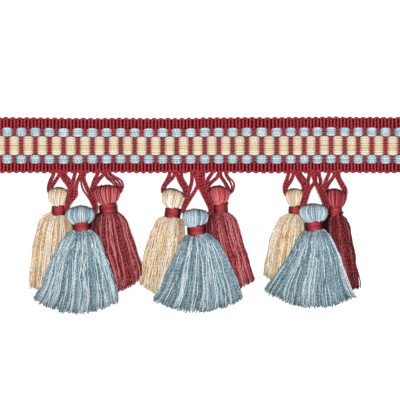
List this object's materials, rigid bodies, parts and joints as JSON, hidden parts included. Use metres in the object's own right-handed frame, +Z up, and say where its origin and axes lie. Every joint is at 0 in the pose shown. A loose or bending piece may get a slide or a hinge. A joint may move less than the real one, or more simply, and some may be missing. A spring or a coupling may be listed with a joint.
{
  "type": "tassel fringe trimming",
  "caption": "Cut length of woven braid heading lying face up, with groups of yarn tassels in three colours hung from its lower edge on cord loops.",
  "frame": {"origin": "centre of the heading's flat back, in the plane of the surface that the trimming lies on", "axes": "+X along the heading, +Y across it, away from the tassels, +Z up from the surface, towards the face"},
  "size_m": [0.2266, 0.108, 0.0136],
  "materials": {
    "heading_weave": "matte",
    "cream_yarn": "satin",
    "red_yarn": "satin",
    "blue_yarn": "satin",
    "binding_yarn": "satin",
    "crimson_cord": "matte"
  },
  "bodies": {
    "root": {"heading": "heading_weave", "tassel_cream_1": "cream_yarn", "tassel_red_1": "red_yarn", "tassel_blue_1": "blue_yarn", "tassel_cream_2": "cream_yarn", "tassel_red_2": "red_yarn", "tassel_blue_2": "blue_yarn", "tassel_cream_3": "cream_yarn", "tassel_red_3": "red_yarn", "tassel_blue_3": "blue_yarn", "binding_cream_1": "binding_yarn", "binding_red_1": "binding_yarn", "binding_blue_1": "binding_yarn", "binding_cream_2": "binding_yarn", "binding_red_2": "binding_yarn", "binding_blue_2": "binding_yarn", "binding_cream_3": "binding_yarn", "binding_red_3": "binding_yarn", "binding_blue_3": "binding_yarn", "loop_under_cream_1": "crimson_cord", "loop_over_cream_1": "crimson_cord", "loop_under_red_1": "crimson_cord", "loop_over_red_1": "crimson_cord", "loop_under_blue_1": "crimson_cord", "loop_over_blue_1": "crimson_cord", "loop_under_cream_2": "crimson_cord", "loop_over_cream_2": "crimson_cord", "loop_under_red_2": "crimson_cord", "loop_over_red_2": "crimson_cord", "loop_under_blue_2": "crimson_cord", "loop_over_blue_2": "crimson_cord", "loop_under_cream_3": "crimson_cord", "loop_over_cream_3": "crimson_cord", "loop_under_red_3": "crimson_cord", "loop_over_red_3": "crimson_cord", "loop_under_blue_3": "crimson_cord", "loop_over_blue_3": "crimson_cord"}
  },
  "joints": []
}
